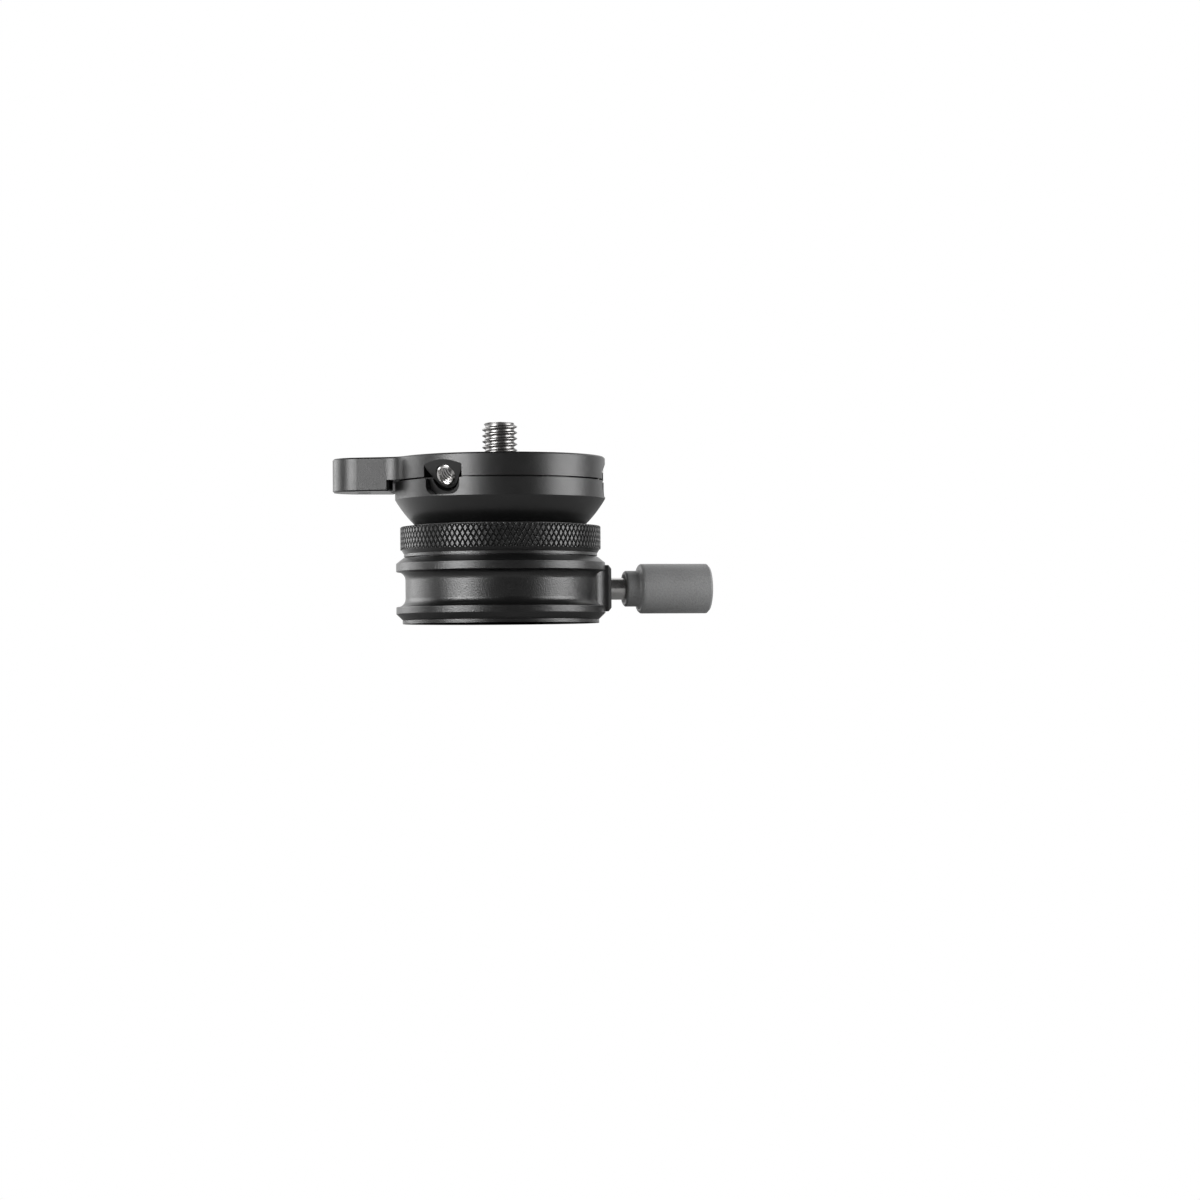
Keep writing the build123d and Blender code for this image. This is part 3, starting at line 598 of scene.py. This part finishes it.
for height, direction in ((knurl_bottom, 1), (knurl_top, -1)):
    edit(ring)
    bpy.ops.mesh.select_all(action="SELECT")
    bpy.ops.mesh.bisect(plane_co=(0, 0, height), plane_no=(0, 0, direction), clear_inner=True)
    close()

# %% Ring round the knurl
tolerance = 0.001 * MM
plain_corners = [
    (crest - groove_depth, knurl_bottom), (foot, foot_top), (foot, ring_bottom), (bore, ring_bottom),
    (bore, lip_bottom), (lip, lip_bottom), (lip, seat_bottom), (recess, seat_bottom), (recess, ring_top),
    (rim, ring_top),
]
edit(ring, "EDGE")
pick(ring, lambda e: e.is_boundary and all(abs(v.co.z - knurl_bottom) < tolerance for v in e.verts), "edges")
for radius, height in plain_corners:
    bpy.ops.mesh.extrude_region_move()
    mesh = bmesh.from_edit_mesh(ring.data)
    for vertex in (v for v in mesh.verts if v.select):
        across = hypot(vertex.co.x, vertex.co.y)
        vertex.co = (vertex.co.x * radius / across, vertex.co.y * radius / across, height)
    bmesh.update_edit_mesh(ring.data)
pick(ring, lambda e: e.is_boundary, "edges")
bpy.ops.mesh.bridge_edge_loops()
close()
outwards(ring)
crease(ring, 25)
hand_over(ring, "ball_lock", "black_anodised", "lock_ring")

# %% [markdown]
# ## Screw threads
#
# A thread is one tooth's section carried up a helix, which is what the Screw modifier does. The turns
# are then cut off flat at both ends and capped, and the rod's end is bevelled by drawing in the vertices
# that stand outside a cone.


# %% Threads
def threaded_rod(name, radius, pitch, bottom, top, bevels, turns_round=48):
    """A closed rod along Z with a 60-degree thread; bevels are the lengths of its lower and upper cones."""
    depth = 0.54 * pitch
    root = radius - depth
    tooth = [(root, 0), (root, 0.25 * pitch), (radius, 0.5625 * pitch), (radius, 0.6875 * pitch), (root, pitch)]
    rod = chain(name, [(across, bottom - pitch + height) for across, height in tooth])
    turns = int((top - bottom) / pitch) + 3
    apply_modifier(
        rod, "SCREW", axis="Z", angle=2 * pi, screw_offset=pitch, iterations=turns,
        steps=turns_round, render_steps=turns_round, use_merge_vertices=True, merge_threshold=0.002 * MM,
    )
    for height, direction in ((bottom, 1), (top, -1)):
        edit(rod)
        bpy.ops.mesh.select_all(action="SELECT")
        bpy.ops.mesh.bisect(
            plane_co=(0, 0, height), plane_no=(0, 0, direction), clear_inner=True, use_fill=True,
        )
        close()
    for vertex in rod.data.vertices:
        across = hypot(vertex.co.x, vertex.co.y)
        from_ends = (vertex.co.z - bottom, top - vertex.co.z)
        cones = [radius - bevel + distance for bevel, distance in zip(bevels, from_ends) if bevel]
        limit = min([radius, *cones])
        if across > limit:
            vertex.co.x *= limit / across
            vertex.co.y *= limit / across
    outwards(rod, 0.001 * MM)
    return rod


def prism(name, sides, radius, bottom, top, turn=0.0):
    """A straight prism along Z, as a tool to add or cut with."""
    bpy.ops.object.select_all(action="DESELECT")
    bpy.ops.mesh.primitive_cylinder_add(
        vertices=sides, radius=radius, depth=top - bottom, location=(0, 0, (bottom + top) / 2),
        rotation=(0, 0, turn),
    )
    piece = bpy.context.object
    piece.name = name
    settle(piece)
    return piece


# %% Head stud
inch = 25.4 * MM
stud_pitch = inch / 16
stud_low, stud_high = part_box("head_stud")
plate_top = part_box("top_plate")[1].z
stud_corners = section("head_stud", 0.05 * MM)
stud_radius = 4.7625 * MM
shoulder_radius = 4.9625 * MM
hex_height = 2.0 * MM
hex_radius = 8.0 * MM
lug_heading = radians(166.5)
stud = threaded_rod("threaded_stud", stud_radius, stud_pitch, plate_top - 0.4 * MM, stud_high.z, (0, 0.8 * MM))
shoulder = prism("shoulder", 64, shoulder_radius, stud_low.z + hex_height / 2, plate_top)
combine(stud, shoulder, "UNION")
hexagon = prism("hexagon", 6, hex_radius, stud_low.z, stud_low.z + hex_height, lug_heading + pi / 6)
combine(stud, hexagon, "UNION")
crease(stud)
hand_over(stud, "platform", "bright_steel", "head_stud")
stud.data.materials[0] = finish("dull_steel", bare_metal(grey(0.30, 0.015), 0.27, 0.20 * MM, 0.001 * MM))

# %% Tripod bush
bush_low, bush_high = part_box("tripod_bush")
(bush_bore, _), (bush_wall, _) = [c for c in section("tripod_bush") if c[1] == 0][:2]
bush_flange = bush_high.x
flange_bottom = [c for c in section("tripod_bush") if 0 < c[1] < bush_high.z - tolerance][0][1]
minor_bore = bush_bore - 0.54 * stud_pitch
mouth = 0.7 * MM
bush = spun("threaded_bush", [
    (minor_bore, mouth), (bush_bore, 0), (bush_wall, 0), (bush_wall, flange_bottom),
    (bush_flange, flange_bottom), (bush_flange, bush_high.z), (minor_bore, bush_high.z),
])
tap = threaded_rod("tap", bush_bore, stud_pitch, -MM, bush_high.z + MM, (0, 0))
combine(bush, tap, "DIFFERENCE")
crease(bush)
hand_over(bush, "pan_base", "brass", "tripod_bush")

# %% Anti-twist screws
screw_radius = 3.0 * MM
screw_length = 8.0 * MM
screw_bevels = (0.65 * MM, 0.65 * MM)
socket_radius = 1.73 * MM
socket_depth = 3.5 * MM
screw = threaded_rod("threaded_set_screw", screw_radius, MM, -screw_length / 2, screw_length / 2, screw_bevels, 40)
socket_bottom = screw_length / 2 - socket_depth
socket = prism("socket", 6, socket_radius, socket_bottom, screw_length, pi / 6)
combine(screw, socket, "DIFFERENCE")
crease(screw)
for place in ("front", "side", "rear"):
    node = f"anti_twist_screw_{place}"
    low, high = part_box(node)
    inwards = next(Vector(joint["axis"]) for joint in frame["joints"] if joint["child"] == f"set_screw_{place}")
    turned = (-inwards).to_track_quat("Z", "X").to_matrix().to_4x4()
    copy = screw.copy()
    copy.data = screw.data.copy()
    copy.name = f"set_screw_{place}"
    bpy.context.scene.collection.objects.link(copy)
    copy.data.transform(Matrix.Translation((low + high) / 2) @ turned)
    hand_over(copy, f"set_screw_{place}", "bright_steel", node)
bpy.data.objects.remove(screw)

# %% [markdown]
# ## The bubble level
#
# The level is a clear cover over green fluid, with an air bubble under its crowned roof. Where clear
# solids meet face to face, a renderer can't tell which comes first, so the fluid is modelled a hair
# larger than the cavity and reaches into the cover. Cover and fluid are turned about the lug's axis.

# %% Level
lens_low, lens_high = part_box("vial_lens")
fluid_low, fluid_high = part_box("vial_liquid")
bubble_low, bubble_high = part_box("air_bubble")
vial_axis = Matrix.Translation(((lens_low.x + lens_high.x) / 2, (lens_low.y + lens_high.y) / 2, 0))
vial_radius = (lens_high.x - lens_low.x) / 2
cavity_radius = (fluid_high.x - fluid_low.x) / 2
crown_radius = 22 * MM
overlap = 0.02 * MM
arc_steps = 8


def crowned(across, roof):
    """Points of the crown's arc from a radius in to the axis."""
    steps = [across * (1 - index / arc_steps) for index in range(arc_steps + 1)]
    return [(radius, roof - radius**2 / (2 * crown_radius)) for radius in steps]


edge = 0.3 * MM
cover = spun("vial_cover", [
    (cavity_radius, fluid_low.z), (vial_radius, lens_low.z), (vial_radius, lens_high.z - edge),
    (vial_radius - edge, lens_high.z), (0, lens_high.z), *crowned(cavity_radius, fluid_high.z)[::-1],
], 64)
filling = spun("vial_filling", [
    (0, fluid_low.z), (cavity_radius + overlap, fluid_low.z), *crowned(cavity_radius + overlap, fluid_high.z + overlap),
], 64)
bubble_radius = (bubble_high.x - bubble_low.x) / 2
bubble_depth = bubble_high.z - bubble_low.z
bpy.ops.object.select_all(action="DESELECT")
bpy.ops.mesh.primitive_uv_sphere_add(segments=48, ring_count=24, radius=1)
bubble = bpy.context.object
bubble.name = "vial_bubble"
edit(bubble)
bpy.ops.mesh.select_all(action="SELECT")
bpy.ops.transform.resize(value=(bubble_radius, bubble_radius, bubble_depth / 2))
bpy.ops.transform.translate(value=(0, 0, bubble_low.z + bubble_depth / 2 - overlap))
close()
for piece, slot, node in (
    (cover, "vial_acrylic", "vial_lens"),
    (filling, "vial_fluid", "vial_liquid"),
    (bubble, "vial_air", "air_bubble"),
):
    piece.data.transform(vial_axis)
    crease(piece, 40)
    hand_over(piece, "platform", slot, node)
